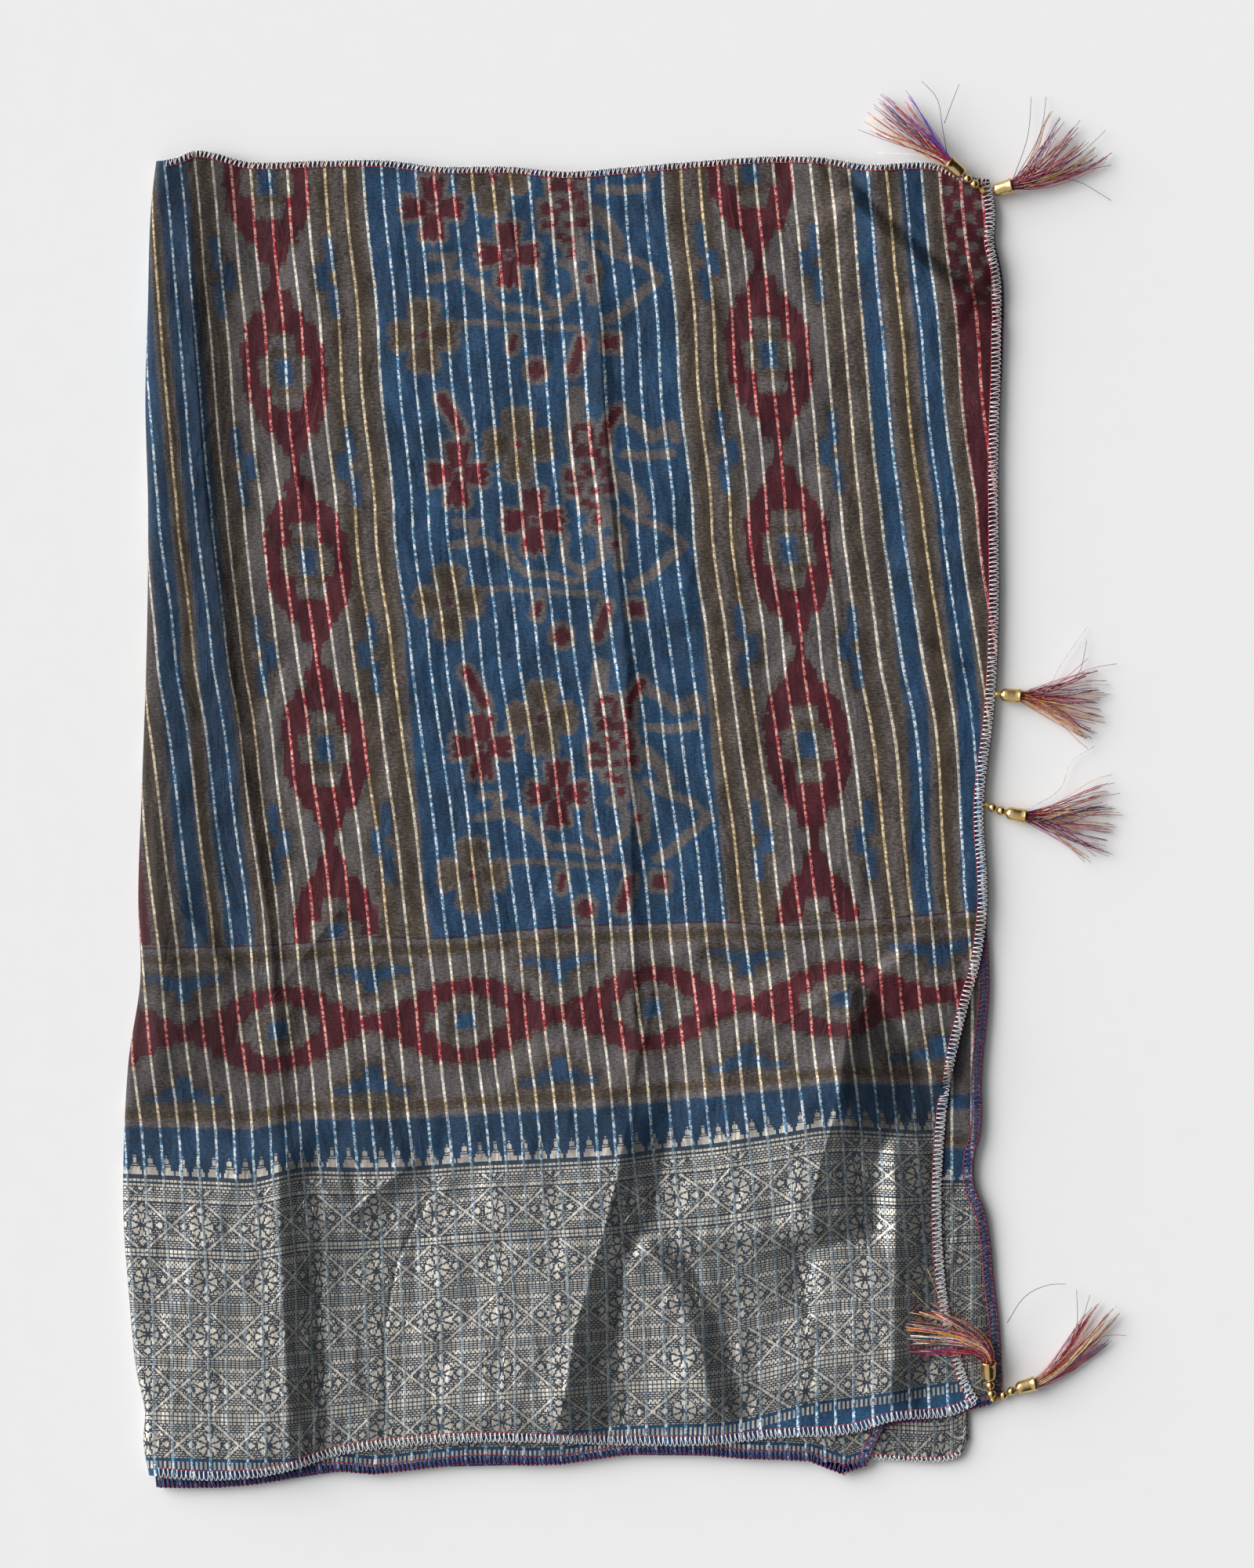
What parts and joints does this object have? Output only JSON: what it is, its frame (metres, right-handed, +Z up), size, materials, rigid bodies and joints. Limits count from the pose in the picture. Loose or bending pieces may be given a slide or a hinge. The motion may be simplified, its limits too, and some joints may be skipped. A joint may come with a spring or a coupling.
{
  "type": "folded stole",
  "caption": "Long tasselled stole of patterned cloth, folded in four and laid flat, with a brocade border along one long edge.",
  "frame": {"origin": "on the surface under the middle of the bounding box", "axes": "+Z up off the surface, +Y along the longest extent towards the plain long edge, +X towards the tasselled ends"},
  "size_m": [0.5522, 0.7664, 0.0152],
  "materials": {
    "cloth_face": "thin silky woven cloth, blue, grey and maroon stripes with metallic threads",
    "cloth_back": "reverse of the same cloth, duller, with a grey brocade border",
    "cloth_border": "silver brocade woven over dark blue",
    "gilt": "polished gilt",
    "mixed_thread": "cut metallic thread in red, orange, pink, violet and cream"
  },
  "bodies": {
    "root": {"front_layer": "cloth_face", "second_layer": "cloth_back", "lower_layers": "cloth_border", "tassel_top_front_loop": "gilt", "tassel_top_front_cap": "gilt", "tassel_top_front_skirt": "mixed_thread", "tassel_top_back_cap": "gilt", "tassel_top_back_skirt": "mixed_thread", "tassel_middle_back_loop": "gilt", "tassel_middle_back_cap": "gilt", "tassel_middle_back_skirt": "mixed_thread", "tassel_middle_front_loop": "gilt", "tassel_middle_front_cap": "gilt", "tassel_middle_front_skirt": "mixed_thread", "tassel_bottom_front_loop": "gilt", "tassel_bottom_front_cap": "gilt", "tassel_bottom_front_skirt": "mixed_thread", "tassel_bottom_back_loop": "gilt", "tassel_bottom_back_cap": "gilt", "tassel_bottom_back_skirt": "mixed_thread"}
  },
  "joints": []
}
